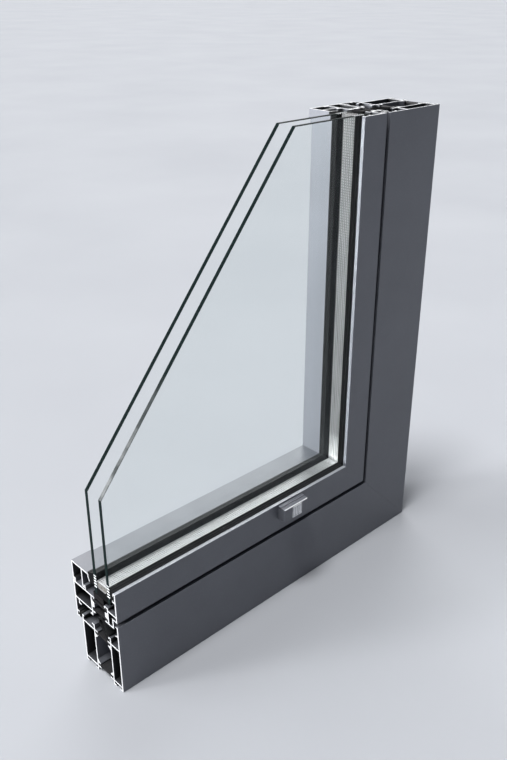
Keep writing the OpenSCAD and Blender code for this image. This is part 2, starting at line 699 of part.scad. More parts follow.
// A block along X, centred, on the rebate floor, with grooves along its underside.
module rail_block() {
  difference() {
    translate([-block_len / 2, block_v, block_u]) cube([block_len, block_w, block_h]);
    for (v = [16, 22, 28, 34])
      translate([-block_len / 2 - 1, v, sash_floor + 0.2]) cube([block_len + 2, 2.4, 2]);
  }
}
module glazing_blocks() {
  color(block_blue) {
    for (x = block_x) translate([-x, 0, 0]) rail_block();
    for (z = block_z)
      translate([-block_u - block_h, block_v, z]) cube([block_h, block_w, block_len]);
  }
}
module rebate_foam() {
  cut_len = block_len + 2 * block_end;
  color(foam_black) difference() {
    around_corner() foam_section();
    for (x = block_x) translate([-x - cut_len / 2, 0, sash_floor - 1]) cube([cut_len, 60, 20]);
    for (z = block_z) translate([-sash_floor - 20, 0, z - block_end]) cube([21, 60, cut_len]);
  }
}

// ---------------------------------------------------------------- drainage cap
// Plan outline of the hood, rounded at the two front corners.
module cap_plan(width, depth, corner) {
  union() {
    translate([-width / 2, -depth + corner]) square([width, depth - corner]);
    translate([-width / 2 + corner, -depth]) square([width - 2 * corner, depth]);
    for (side = [-1, 1])
      translate([side * (width / 2 - corner), -depth + corner]) circle(r = corner);
  }
}
module drain_cap() {
  cut_w = 2 * cap_w;
  color(dark_alu) translate([-cap_x, -gap, 0]) {
    difference() {
      translate([0, 0, cap_z0]) linear_extrude(cap_h) cap_plan(cap_w, cap_d, 1.2);
      // hollow, open below
      translate([0, 0, cap_z0 - 1]) linear_extrude(cap_h - 0.9)
        translate([0, 0.6]) cap_plan(cap_w - 3, cap_d - 0.9, 0.8);
      // top slopes down to the front
      translate([-cap_w, 0, cap_z1]) rotate([cap_slope, 0, 0])
        translate([0, -20, 0]) cube([cut_w, 20, 8]);
      // bevel along the front edge of the top
      translate([-cap_w, -cap_d + 0.7, cap_z1 - 0.167 * cap_d]) rotate([45, 0, 0])
        translate([0, -5, 0]) cube([cut_w, 10, 5]);
      // line along the middle of the top
      translate([-cap_w, -cap_d * 0.52, cap_z1 - 1.5]) rotate([cap_slope, 0, 0])
        cube([cut_w, 0.9, 1.0]);
      // seat of the insert plate
      translate([-badge_w / 2 + badge_shift, -cap_d - 1, cap_z0 - 1]) cube([badge_w, 1.5, 14.0]);
      // bearings of the flap
      translate([-cap_w, flap_y, flap_z]) rotate([0, 90, 0]) cylinder(r = 0.85, h = cut_w);
    }
    // snap legs through the drainage slot
    for (side = [-1, 1]) translate([side * 10.2 - 1.1, 0, 0]) {
      leg_z = slot_z + 0.6;
      translate([0, -0.9, leg_z]) cube([2.2, 5.6, 3.4]);
      translate([0, weather_wall + 0.3, leg_z]) cube([2.2, 2.2, 4.4]);
      translate([0, -0.95, leg_z]) cube([2.2, 0.7, 12.9]);
    }
  }
}
// Insert plate with four upright grooves in its front.
module drain_cap_badge() {
  color(badge_grey) translate([-cap_x + badge_shift, -cap_d - gap, 0]) difference() {
    translate([-badge_w / 2 + 0.1, -0.45, cap_z0 + 0.15]) cube([badge_w - 0.2, 0.9, 12.75]);
    for (k = [0 : 3])
      translate([-badge_w / 2 + 1.9 + k * 2.6, -0.5, cap_z0 + 2]) cube([1.5, 0.3, 9]);
  }
}
module drain_flap() {
  flap_h = 9.4;
  color(rubber) translate([-cap_x, -gap, 0]) union() {
    translate([-13, flap_y - 0.4, flap_z - flap_h]) cube([26, 0.8, flap_h]);
    translate([-cap_w / 2 + 0.4, flap_y, flap_z]) rotate([0, 90, 0])
      cylinder(r = 0.8, h = cap_w - 0.8);
  }
}

// ---------------------------------------------------------------- drive rod
module drive_rod() {
  x0 = 152;
  x1 = 350;
  rod_w = 18.6;
  color(steel) difference() {
    translate([-x1, rod_v - rod_w / 2, chamber_u - 3.0]) cube([x1 - x0, rod_w, 2.8]);
    translate([-cam_x, cam_v, chamber_u - 4]) cylinder(r = 2.5, h = 5);
    for (x = rod_slots) translate([-x, rod_v, chamber_u - 4]) long_slot(46, 5.2, 5);
  }
}
// Headed studs through the rod's slots, each with a hexagonal recess below.
module rod_guides() {
  color(steel) for (x = rod_slots) translate([-x, rod_v, 0]) difference() {
    union() {
      translate([0, 0, chamber_u - 4.7]) cylinder(r = 4.2, h = 1.6);
      translate([0, 0, chamber_u - 3.2]) cylinder(r = 2.5, h = 3.15);
      translate([0, 0, chamber_u - 0.1]) cylinder(r = 1.6, h = 5);
    }
    translate([0, 0, chamber_u - 5]) cylinder(r = 1.4, h = 1.5, $fn = 6);
  }
}
module cam_stud() {
  color(steel) translate([-cam_x, cam_v, 0]) union() {
    translate([0, 0, chamber_u - 12.4]) cylinder(r = 3.9, h = 1.4);
    translate([0, 0, chamber_u - 11.2]) cylinder(r = 2.45, h = 11.05);
  }
}
module cam_roller() {
  color(steel) translate([-cam_x, cam_v, 0]) difference() {
    union() {
      translate([0, 0, chamber_u - 10.9]) cylinder(r = 4.2, h = 6.0);
      translate([0, 0, chamber_u - 5]) cylinder(r = 3.4, h = 1.8);
    }
    translate([0, 0, chamber_u - 12]) cylinder(r = 2.5, h = 12);
  }
}

frame_rail_outer();
frame_rail_inner();
frame_stile_outer();
frame_stile_inner();
frame_rail_thermal_strips();
frame_stile_thermal_strips();
frame_cleat_outer();
frame_cleat_inner();
frame_alignment_angle();
central_gasket();
lock_keep();
keep_screws();
pivot_bracket();
bracket_screws();
pivot_pin();
bracket_cover();
pivot_link();
tilt_pin();
sash_rail_outer();
sash_rail_inner();
sash_stile_outer();
sash_stile_inner();
sash_rail_thermal_strips();
sash_stile_thermal_strips();
sash_cleat_outer();
sash_cleat_inner();
sash_alignment_angle();
glazing_bead_rail();
glazing_bead_stile();
outer_glazing_gasket();
inner_glazing_gasket();
overlap_gasket();
outer_pane();
inner_pane();
spacer_rail();
spacer_stile();
spacer_corner_key();
desiccant();
butyl_seal();
edge_sealant();
glazing_blocks();
rebate_foam();
drain_cap();
drain_cap_badge();
drain_flap();
hinge_arm();
arm_screws();
arm_cover();
drive_rod();
rod_guides();
cam_stud();
cam_roller();
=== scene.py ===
"""Corner sample of an aluminium window: frame, opening sash and a double glazed unit.

The outer corner of the frame stands at the origin. The rail runs along -x and the stile up +z,
and both are sawn off at their far ends. Depth is y, from the weather side to the room side.
Sections are drawn in millimetres as (depth, inset), where inset is the distance in from the
outer edge of the frame: z on the rail, -x on the stile. Shaders work in metres.
"""
import bpy, bmesh, math, json, random
from mathutils import Vector, Matrix
from mathutils.geometry import tessellate_polygon

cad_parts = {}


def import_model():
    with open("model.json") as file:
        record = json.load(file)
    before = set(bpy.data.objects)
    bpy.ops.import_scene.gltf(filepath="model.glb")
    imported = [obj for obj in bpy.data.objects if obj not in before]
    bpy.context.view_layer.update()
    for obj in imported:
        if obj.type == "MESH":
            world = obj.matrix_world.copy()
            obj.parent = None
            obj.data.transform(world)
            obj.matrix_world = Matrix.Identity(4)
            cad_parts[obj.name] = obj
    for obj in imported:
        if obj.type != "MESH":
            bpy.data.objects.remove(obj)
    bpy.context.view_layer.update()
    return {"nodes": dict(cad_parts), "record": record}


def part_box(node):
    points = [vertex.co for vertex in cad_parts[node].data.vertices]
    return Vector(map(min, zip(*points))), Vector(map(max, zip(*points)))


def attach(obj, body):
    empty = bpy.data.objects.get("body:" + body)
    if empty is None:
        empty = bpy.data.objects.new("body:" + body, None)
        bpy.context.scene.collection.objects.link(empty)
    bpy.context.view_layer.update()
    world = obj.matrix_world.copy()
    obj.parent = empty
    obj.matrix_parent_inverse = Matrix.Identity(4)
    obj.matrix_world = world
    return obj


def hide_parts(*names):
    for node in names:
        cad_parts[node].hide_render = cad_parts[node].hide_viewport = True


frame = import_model()
random.seed(7)

# ------------------------------------------------------------------ sizes from the frame, in mm
MM = 0.001


def low(node, axis):
    return getattr(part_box(node)[0], axis) / MM


def high(node, axis):
    return getattr(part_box(node)[1], axis) / MM


RAIL_LENGTH = -low("frame_rail_outer", "x")
STILE_HEIGHT = high("frame_stile_outer", "z")
LIP_TOP = high("sash_rail_outer", "z")              # top of the sash's weather lip
BEAD_TOP = high("glazing_bead_rail", "z")
BEAD_EDGE = low("glazing_bead_rail", "y") + 1.8     # weather side edge of the bead's top
LEG_FOOT = low("sash_rail_inner", "z")              # bottom of the sash's room side leg
REBATE_FLOOR = LEG_FOOT + 1.0
OUTER_PANE_WEATHER = low("outer_pane", "y")
OUTER_PANE_ROOM = high("outer_pane", "y")
INNER_PANE_WEATHER = low("inner_pane", "y")
INNER_PANE_ROOM = high("inner_pane", "y")


# ------------------------------------------------------------------ shader building
def shade(color, times, plus=0.0):
    """A colour made darker or lighter."""
    return tuple(channel * times + plus for channel in color)


class Net:
    """A material's node tree, with short calls for the nodes used here."""

    def __init__(self, name):
        self.material = bpy.data.materials.new(name)
        self.material.use_nodes = True
        self.tree = self.material.node_tree
        self.tree.nodes.clear()
        self.output = self.tree.nodes.new("ShaderNodeOutputMaterial")

    def node(self, kind, inputs=None, **settings):
        node = self.tree.nodes.new("ShaderNode" + kind)
        for key, value in settings.items():
            setattr(node, key, value)
        for key, value in (inputs or {}).items():
            socket = node.inputs[key]
            if isinstance(value, bpy.types.NodeSocket):
                self.tree.links.new(value, socket)
            elif isinstance(value, tuple) and socket.type == "RGBA":
                socket.default_value = (*value, 1)
            else:
                socket.default_value = value
        return node

    def calc(self, operation, a, b=0.0, c=None, clamp=False):
        inputs = {0: a, 1: b}
        if c is not None:
            inputs[2] = c
        return self.node("Math", inputs, operation=operation, use_clamp=clamp).outputs[0]

    def less(self, a, b):
        return self.calc("LESS_THAN", a, b)

    def more(self, a, b):
        return self.calc("GREATER_THAN", a, b)

    def largest(self, a, b):
        return self.calc("MAXIMUM", a, b)

    def times(self, product, *factors):
        for factor in factors:
            product = self.calc("MULTIPLY", product, factor)
        return product

    def position(self):
        return self.node("TexCoord").outputs["Object"]

    def normal(self):
        return self.node("TexCoord").outputs["Normal"]

    def split(self, vector):
        return self.node("SeparateXYZ", {0: vector}).outputs[:3]

    def inset(self, x, z):
        """Distance in from the nearer outer edge of the corner."""
        return self.calc("MINIMUM", self.times(x, -1.0), z)

    def waves(self, distance, period):
        return self.calc("SINE", self.times(distance, 2 * math.pi / period))

    def noise(self, vector, scale, detail=4.0, rough=0.6):
        inputs = {"Vector": vector, "Scale": scale, "Detail": detail, "Roughness": rough}
        return self.node("TexNoise", inputs).outputs["Fac"]

    def streaks(self, vector, stretch, detail):
        """Noise drawn out along the axis with the smallest stretch."""
        mapping = self.node("Mapping", {"Vector": vector, "Scale": stretch})
        return self.noise(mapping.outputs[0], scale=1.0, detail=detail)

    def cells(self, vector, scale, output="Distance"):
        return self.node("TexVoronoi", {"Vector": vector, "Scale": scale}).outputs[output]

    def ramp(self, factor, *stops):
        """Colour ramp between two (position, colour) stops."""
        node = self.node("ValToRGB", {0: factor})
        for element, (position, color) in zip(node.color_ramp.elements, stops):
            element.position = position
            element.color = (*color, 1)
        return node.outputs[0]

    def remap(self, value, span=(0.3, 0.7), to=(0.0, 1.0)):
        return self.node("MapRange", {0: value, 1: span[0], 2: span[1], 3: to[0], 4: to[1]}).outputs[0]

    def mix(self, factor, a, b):
        return self.node("Mix", {0: factor, 6: a, 7: b}, data_type="RGBA").outputs[2]

    def bump(self, height, strength, distance, under=None):
        inputs = {"Height": height, "Strength": strength, "Distance": distance}
        if under is not None:
            inputs["Normal"] = under
        return self.node("Bump", inputs).outputs[0]

    def principled(self, **inputs):
        named = {key.replace("_", " "): value for key, value in inputs.items()}
        return self.node("BsdfPrincipled", named).outputs[0]

    def mix_shader(self, factor, a, b):
        return self.node("MixShader", {0: factor, 1: a, 2: b}).outputs[0]

    def finish(self, shader):
        self.tree.links.new(shader, self.output.inputs["Surface"])
        return self.material


def sawn_mask(net):
    """1 on the two sawn ends of the sample, 0 elsewhere, from place and facing."""
    skin = 0.4          # mm behind the cut that still counts as the sawn face
    facing = 0.6
    x, y, z = net.split(net.position())
    nx, ny, nz = net.split(net.normal())
    rail = net.times(net.less(x, (-RAIL_LENGTH + skin) * MM), net.less(nx, -facing))
    stile = net.times(net.more(z, (STILE_HEIGHT - skin) * MM), net.more(nz, facing))
    return net.largest(rail, stile)


# ------------------------------------------------------------------ materials
def sawn_metal(net):
    """Bright freshly sawn aluminium with fine arcs left by the blade."""
    point = net.position()
    blade_offset = (0.0, 0.16, 0.05)    # puts the centre of the arcs well off the sample
    centred = net.node("VectorMath", {0: point, 1: blade_offset}, operation="ADD").outputs[0]
    wave = {"Vector": centred, "Scale": 260.0, "Distortion": 1.2, "Detail": 2.0, "Detail Scale": 3.0}
    arcs = net.node("TexWave", wave, wave_type="RINGS", rings_direction="SPHERICAL").outputs["Fac"]
    grain = net.noise(point, scale=1800.0)
    height = net.calc("MULTIPLY_ADD", arcs, 0.6, net.times(grain, 0.5))
    return net.principled(
        Base_Color=net.ramp(grain, (0.25, (0.46, 0.47, 0.485)), (0.75, (0.60, 0.61, 0.625))),
        Metallic=0.55, Roughness=net.remap(arcs, span=(0, 1), to=(0.30, 0.46)),
        Normal=net.bump(height, strength=0.18, distance=0.0002))


def painted_chamber_shade_and_lip_highlight(net, point, base, color):
    """Painted shade: dull dark metal deep in the chambers. Painted highlight: a lighter top on the
    weather lip.
    """
    shelter = net.node("AmbientOcclusion", {"Distance": 0.045}, samples=4, only_local=True)
    # painted shade: dark metal where the chambers are occluded
    color = net.mix(net.remap(shelter.outputs["AO"], span=(0.48, 0.95)), shade(base, 0.08), color)
    x, y, z = net.split(point)
    nx, ny, nz = net.split(net.normal())
    # painted highlight: a lighter colour on the top face of the weather lip
    at_lip_top = net.calc("COMPARE", z, LIP_TOP * MM, 0.0006)
    lip = net.times(net.more(nz, 0.75), net.less(y, 0.0042), at_lip_top)
    return net.mix(lip, color, (0.285, 0.295, 0.325))


def coat_shader(net, base, rough, flake, profile):
    """Satin metallic powder coat: fine flakes, a little orange peel and slow variation."""
    point = net.position()
    slow = net.noise(point, scale=9.0, detail=3.0, rough=0.55)
    flakes = net.split(net.cells(point, scale=2600.0, output="Color"))[0]
    peel = net.noise(point, scale=520.0, detail=2.0, rough=0.5)
    handled = net.noise(point, scale=38.0, detail=5.0, rough=0.62)
    color = net.mix(net.remap(slow), shade(base, 0.93), shade(base, 1.07))
    glitter = net.remap(flakes, span=(0.90, 1.0), to=(0.0, 0.32 * flake))
    color = net.mix(glitter, color, shade(base, 1.9))
    if profile:
        color = painted_chamber_shade_and_lip_highlight(net, point, base, color)
    flake_bump = net.bump(flakes, strength=0.02 * flake, distance=0.0001)
    return net.principled(
        Base_Color=color, Metallic=0.28,
        Roughness=net.remap(handled, span=(0.3, 0.75), to=(rough - 0.03, rough + 0.05)),
        Normal=net.bump(peel, strength=0.05, distance=0.0003, under=flake_bump),
        Coat_Weight=0.12, Coat_Roughness=0.22)


def make_coat(name, base, rough=0.44, flake=1.0, profile=False, painted_edge_highlight=False):
    """Powder coat. A profile also gets painted shade in its chambers, a painted highlight on its
    weather lip, and sawn ends.
    """
    net = Net(name)
    shader = coat_shader(net, base, rough, flake, profile)
    if painted_edge_highlight:
        # painted highlight on edges that face both up and to the weather side
        nx, ny, nz = net.split(net.normal())
        edge = net.times(net.remap(nz, span=(0.35, 0.5)),
                         net.remap(ny, span=(-0.5, -0.35), to=(1, 0)))
        cloud = net.noise(net.position(), scale=300.0, detail=3.0, rough=0.5)
        bright = net.ramp(cloud, (0.3, (0.68, 0.69, 0.71)), (0.7, (0.80, 0.81, 0.83)))
        edge_highlight = net.principled(Base_Color=bright, Metallic=0.3, Roughness=0.3)
        shader = net.mix_shader(edge, shader, edge_highlight)
    if profile:
        shader = net.mix_shader(sawn_mask(net), shader, sawn_metal(net))
    return net.finish(shader)


def make_polymer(name, base, cut):
    """Glass filled polyamide: fine fibres along x, a duller grey sawn end."""
    net = Net(name)
    point = net.position()
    fibres = net.streaks(point, stretch=(30.0, 900.0, 900.0), detail=4.0)
    grain = net.noise(point, scale=900.0)
    body = net.principled(
        Base_Color=net.mix(net.remap(fibres, span=(0.35, 0.7)), base, shade(base, 1.7, 0.004)),
        Roughness=net.remap(grain, to=(0.44, 0.58)), Specular_IOR_Level=0.4,
        Normal=net.bump(fibres, strength=0.25, distance=0.0001))
    sawn = net.principled(
        Base_Color=net.mix(net.remap(grain, span=(0.35, 0.65)), cut, shade(cut, 1.6)),
        Roughness=0.8, Specular_IOR_Level=0.04,
        Normal=net.bump(grain, strength=0.5, distance=0.0002))
    return net.finish(net.mix_shader(sawn_mask(net), body, sawn))


def make_rubber(name, base, rough):
    """Extruded rubber: drawn lines along the length, a faint bloom, painted shade on faces turned to
    -x, and a matt cut face.
    """
    net = Net(name)
    point = net.position()
    grain = net.noise(point, scale=700.0)
    bloom = net.noise(point, scale=30.0)
    fine = net.cells(point, scale=1500.0)
    x, y, z = net.split(point)
    lines = net.waves(net.calc("ADD", net.inset(x, z), net.times(y, 0.6)), period=0.0016)
    bloomed = net.remap(bloom, span=(0.42, 0.75), to=(0.0, 0.55))
    color = net.mix(bloomed, base, shade(base, 2.1, 0.003))
    drawn = net.remap(lines, span=(0.2, 0.95), to=(0.0, 0.75))
    color = net.mix(drawn, color, shade(base, 2.4, 0.006))
    # painted shade: faces turned to -x, on the upright lengths, are darker and less shiny
    nx, ny, nz = net.split(net.normal())
    shaded_side = net.remap(nx, span=(-0.75, -0.35), to=(1.0, 0.0))
    color = net.mix(net.times(shaded_side, 0.7), color, shade(base, 0.35))
    grain_bump = net.bump(grain, strength=0.10, distance=0.0002)
    body = net.principled(
        Base_Color=color, Roughness=net.remap(bloom, to=(rough - 0.06, rough + 0.08)),
        Specular_IOR_Level=net.remap(shaded_side, span=(0, 1), to=(0.25, 0.06)),
        Normal=net.bump(fine, strength=0.10, distance=0.0001, under=grain_bump))
    sawn = net.principled(
        Base_Color=shade(base, 0.6), Roughness=0.85, Specular_IOR_Level=0.02,
        Normal=net.bump(grain, strength=0.5, distance=0.0003))
    return net.finish(net.mix_shader(sawn_mask(net), body, sawn))


def make_metal(name, base, rough, tint):
    """Plated or mill finish metal: cloudy tint, fine draw lines, rubbed roughness."""
    net = Net(name)
    point = net.position()
    cloud = net.noise(point, scale=45.0)
    lines = net.streaks(point, stretch=(60.0, 900.0, 900.0), detail=3.0)
    pits = net.noise(point, scale=1300.0, detail=2.0, rough=0.5)
    color = net.mix(net.remap(cloud, span=(0.4, 0.68), to=(0, 0.7)), base, tint)
    color = net.mix(net.remap(lines, span=(0.35, 0.75), to=(0, 0.25)), color, shade(base, 0.75))
    pit_bump = net.bump(pits, strength=0.05, distance=0.0001)
    return net.finish(net.principled(
        Base_Color=color, Metallic=1.0, Roughness=net.remap(cloud, to=(rough - 0.05, rough + 0.12)),
        Normal=net.bump(lines, strength=0.08, distance=0.0001, under=pit_bump)))


def make_badge(name):
    """Satin metallised plate: brushed, its ribs and rim brighter than the field."""
    rib_start, rib_pitch, rib_width, rib_count = 1.8, 2.6, 1.5, 4.0     # mm, from the -x edge
    rib_middle, rib_half_height = 6.35, 4.5                             # mm, from the lower edge
    rim = 0.9 * MM
    net = Net(name)
    point = net.position()
    x, y, z = net.split(point)
    lo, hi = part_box("drain_cap_badge")
    brush = net.streaks(point, stretch=(900.0, 900.0, 60.0), detail=4.0)
    from_first = net.calc("SUBTRACT", x, lo.x + rib_start * MM)
    pitches = net.calc("DIVIDE", from_first, rib_pitch * MM)
    ribs = net.times(
        net.less(net.calc("FRACT", pitches), rib_width / rib_pitch),
        net.more(pitches, 0.0), net.less(pitches, rib_count),
        net.calc("COMPARE", z, lo.z + rib_middle * MM, rib_half_height * MM))
    brushed = net.remap(brush)
    field = net.mix(brushed, (0.40, 0.41, 0.43), (0.50, 0.51, 0.53))
    bright = net.mix(net.remap(brush), (0.68, 0.69, 0.71), (0.80, 0.81, 0.82))
    edge = net.largest(net.less(x, lo.x + rim), net.more(z, hi.z - rim))
    edge = net.largest(edge, net.largest(net.more(x, hi.x - rim), net.less(z, lo.z + rim)))
    return net.finish(net.principled(
        Base_Color=net.mix(net.largest(ribs, edge), field, bright),
        Metallic=0.5, Roughness=net.remap(brush, to=(0.24, 0.36)),
        Normal=net.bump(brush, strength=0.2, distance=0.0001)))


def glass_faces(net, point):
    """Refracting faces with a clean reflection; shadow and bounced light pass straight through."""
    light = net.node("LightPath")
    waviness = net.noise(point, scale=6.0, detail=1.0, rough=0.5)
    normal = net.bump(waviness, strength=0.02, distance=0.001)
    bent = net.node("BsdfRefraction", {
        "Color": (0.975, 0.985, 0.983), "Roughness": 0.0, "IOR": 1.52, "Normal": normal})
    shine = net.node("BsdfGlossy", {
        "Color": (0.93, 0.97, 1.0), "Roughness": 0.01, "Normal": normal})
    geometry = net.node("NewGeometry")
    rays = {0: geometry.outputs["Incoming"], 1: geometry.outputs["Normal"]}
    cosine = net.node("VectorMath", rays, operation="DOT_PRODUCT").outputs["Value"]
    grazing = net.calc("SUBTRACT", 1.0, net.calc("ABSOLUTE", cosine), clamp=True)
    # reflection rises from 0.018 face on, and only on the side where light enters
    reflect = net.calc("MULTIPLY_ADD", net.calc("POWER", grazing, 5.0), 0.6, 0.018)
    reflect = net.times(reflect, net.calc("SUBTRACT", 1.0, geometry.outputs["Backfacing"]))
    clear = net.mix_shader(reflect, bent.outputs[0], shine.outputs[0])
    through = net.node("BsdfTransparent", {"Color": (0.965, 0.975, 0.973)}).outputs[0]
    soft = net.largest(light.outputs["Is Shadow Ray"], light.outputs["Is Diffuse Ray"])
    return net.mix_shader(soft, clear, through)


def make_glass(name):
    """Float glass: clear faces, dark green edges with faint painted reflections of the gasket fins and
    a painted highlight on the arris.
    """
    net = Net(name)
    point = net.position()
    nx, ny, nz = net.split(net.normal())
    on_face = net.more(net.calc("ABSOLUTE", ny), 0.95)
    faces = glass_faces(net, point)
    chips = net.noise(point, scale=420.0, detail=5.0, rough=0.7)
    x, y, z = net.split(point)
    inset = net.inset(x, z)
    # painted reflections of the gasket fins: pale bars in a band around the top of the weather lip
    band = net.times(net.less(inset, (LIP_TOP + 4.8) * MM), net.more(inset, (LIP_TOP - 9.0) * MM))
    fin_reflections = net.times(net.more(net.waves(inset, period=0.0031), 0.25), band)
    dark = net.mix(net.remap(chips, span=(0.35, 0.7)),
                   (0.0010, 0.0026, 0.0026), (0.0035, 0.0085, 0.0085))
    # a painted highlight lies on sloping edges of the outer pane and fades upwards
    slope = net.times(net.more(nz, 0.3), net.less(nz, 0.9))
    outer_slope = net.times(slope, net.less(y, INNER_PANE_WEATHER * MM - 0.004))
    patches = net.noise(point, scale=60.0, detail=3.0)
    painted_glint = net.times(net.remap(z, span=(0.205, 0.300), to=(1.0, 0.0)), outer_slope,
                      net.remap(patches, span=(0.35, 0.6), to=(0.3, 1.0)))
    # painted reflections and a painted highlight lighten the dark edge colour
    pale = net.largest(net.times(fin_reflections, 0.8), net.times(painted_glint, 0.2))
    edge = net.principled(
        Base_Color=net.mix(pale, dark, (0.62, 0.64, 0.66)),
        Roughness=net.remap(chips, to=(0.40, 0.55)), Specular_IOR_Level=0.03,
        Normal=net.bump(chips, strength=0.10, distance=0.0003))
    return net.finish(net.mix_shader(on_face, edge, faces))


def make_spacer(name):
    """Bright roll formed spacer. Painted shade darkens the faces turned to -x, which are also
    streaked, rougher and less metallic; near the corner a painted reflection of the other length.
    """
    net = Net(name)
    point = net.position()
    cloud = net.noise(point, scale=60.0)
    fine = net.noise(point, scale=1500.0, detail=3.0)
    color = net.mix(net.remap(cloud), (0.235, 0.24, 0.246), (0.305, 0.31, 0.317))
    streak = net.streaks(point, stretch=(700.0, 2200.0, 40.0), detail=3.0)
    nx, ny, nz = net.split(net.normal())
    # painted shade on the faces turned to -x
    side = net.less(nx, -0.6)
    side_shade = net.mix(net.remap(streak, span=(0.38, 0.62)),
                   (0.035, 0.036, 0.038), (0.115, 0.117, 0.121))
    color = net.mix(side, color, side_shade)
    # painted reflection: near the corner each length shows the other, in streaks
    x, y, z = net.split(point)
    painted_reflection = net.times(net.remap(x, span=(-0.150, -0.116)),
                         net.remap(z, span=(0.115, 0.150), to=(1, 0)),
                         net.remap(streak, span=(0.38, 0.60), to=(0.10, 0.95)))
    color = net.mix(painted_reflection, color, (0.62, 0.63, 0.64))
    rough = net.calc("ADD", net.remap(cloud, to=(0.30, 0.42)), net.times(side, 0.22))
    return net.finish(net.principled(
        Base_Color=color, Metallic=net.remap(side, span=(0, 1), to=(0.35, 0.12)), Roughness=rough,
        Normal=net.bump(fine, strength=0.08, distance=0.0001)))


def make_matte(name, dark, light, rough, scale, bump, cell=False, spec=0.4):
    """Plain material with two mottled shades, in round cells or in noise."""
    net = Net(name)
    point = net.position()
    if cell:
        mottle = net.remap(net.cells(point, scale), span=(0.1, 0.6))
    else:
        mottle = net.remap(net.noise(point, scale), span=(0.35, 0.65))
    slow = net.noise(point, scale=25.0, detail=3.0, rough=0.5)
    return net.finish(net.principled(
        Base_Color=net.mix(mottle, dark, light),
        Roughness=net.remap(slow, to=(rough - 0.06, rough + 0.08)),
        Specular_IOR_Level=spec, Normal=net.bump(mottle, strength=bump, distance=0.0003)))


MATERIALS = {
    "alu": make_coat("coat_satin_grey", (0.109, 0.115, 0.132), profile=True),
    "hinge_paint": make_coat("coat_hinge", (0.103, 0.108, 0.124), rough=0.4),
    # the cap's top front edge gets a painted highlight
    "cap_plastic": make_coat("coat_cap", (0.104, 0.109, 0.126), rough=0.40, flake=0.6,
                             painted_edge_highlight=True),
    "cleat_alu": make_metal("mill_aluminium", (0.74, 0.75, 0.77), rough=0.34,
                            tint=(0.66, 0.67, 0.70)),
    "polyamide": make_polymer("polyamide_black", (0.007, 0.007, 0.008),
                              cut=(0.0055, 0.0056, 0.0060)),
    "epdm": make_rubber("epdm_black", (0.0075, 0.008, 0.0085), rough=0.55),
    "glass": make_glass("float_glass"),
    "spacer_metal": make_spacer("spacer_bright"),
    "key_plastic": make_matte("nylon_key", (0.34, 0.35, 0.36), (0.42, 0.43, 0.44),
                              rough=0.5, scale=300.0, bump=0.15),
    "desiccant": make_matte("molecular_sieve", (0.09, 0.088, 0.083), (0.22, 0.215, 0.205),
                            rough=0.85, scale=900.0, bump=0.5, spec=0.2),
    "butyl": make_rubber("butyl_black", (0.008, 0.008, 0.008), rough=0.3),
    "sealant": make_rubber("edge_sealant_black", (0.006, 0.0063, 0.0068), rough=0.6),
    "foam": make_matte("foam_black", (0.003, 0.003, 0.0034), (0.008, 0.008, 0.0086),
                       rough=0.95, scale=1100.0, bump=0.8, cell=True, spec=0.05),
    "block_plastic": make_matte("packer_blue", (0.05, 0.13, 0.30), (0.07, 0.17, 0.36),
                                rough=0.45, scale=160.0, bump=0.1),
    "hardware_steel": make_metal("zinc_plated_steel", (0.70, 0.71, 0.73), rough=0.28,
                                 tint=(0.78, 0.76, 0.70)),
    "badge_plastic": make_badge("satin_badge"),
}

# ------------------------------------------------------------------ CAD pieces: finish and edges
# edge radius in mm by material; pieces of other materials keep their sharp edges
EDGE_RADIUS = {
    "alu": 0.2, "hinge_paint": 0.8, "hardware_steel": 0.25, "cleat_alu": 0.5, "glass": 0.45,
    "block_plastic": 0.4, "key_plastic": 0.2, "cap_plastic": 0.45, "polyamide": 0.12,
    "badge_plastic": 0.12}
FLAT_SHADED = {"alu", "glass", "polyamide", "cleat_alu", "key_plastic", "foam", "butyl", "sealant"}


def dress(piece, slot):
    """Gives a CAD piece its material, shading and small edge radii."""
    piece.data.materials.clear()
    piece.data.materials.append(MATERIALS[slot])
    flat = slot in FLAT_SHADED
    for polygon in piece.data.polygons:
        polygon.material_index = 0
        polygon.use_smooth = not flat
    if slot not in EDGE_RADIUS:
        return
    weld = piece.modifiers.new("weld", "WELD")
    weld.merge_threshold = 0.00002
    bevel = piece.modifiers.new("edge_radius", "BEVEL")
    bevel.width = EDGE_RADIUS[slot] * MM
    bevel.segments = 2
    bevel.limit_method = "ANGLE"
    bevel.angle_limit = math.radians(32)
    bevel.use_clamp_overlap = True
    if not flat:
        normals = piece.modifiers.new("even_normals", "WEIGHTED_NORMAL")
        normals.mode = "FACE_AREA"
        normals.weight = 80
        normals.keep_sharp = False


slots = {part["node"]: part["material_slot"] for part in frame["record"]["subparts"]}
for name, piece in frame["nodes"].items():
    dress(piece, slots[name])


# ------------------------------------------------------------------ mesh building
def fillet(outline, radius, steps):
    """Rounds the corners of a closed outline by up to the radius."""
    rounded = []
    for i in range(len(outline)):
        corner = Vector(outline[i])
        before = Vector(outline[i - 1]) - corner
        after = Vector(outline[(i + 1) % len(outline)]) - corner
        if before.length < 1e-6 or after.length < 1e-6:
            continue
        angle = before.angle(after)
        if angle > math.radians(168):
            rounded.append((corner.x, corner.y))
            continue
        cut = min(radius / math.tan(angle / 2), before.length * 0.45, after.length * 0.45)
        start = corner + before / before.length * cut
        end = corner + after / after.length * cut
        for step in range(steps + 1):
            t = step / steps
            point = start * (1 - t) ** 2 + corner * 2 * t * (1 - t) + end * t ** 2
            rounded.append((point.x, point.y))
    return rounded


def on_rail(along, depth, inset):
    return (-along * MM, depth * MM, inset * MM)


def on_stile(along, depth, inset):
    return (-inset * MM, depth * MM, along * MM)


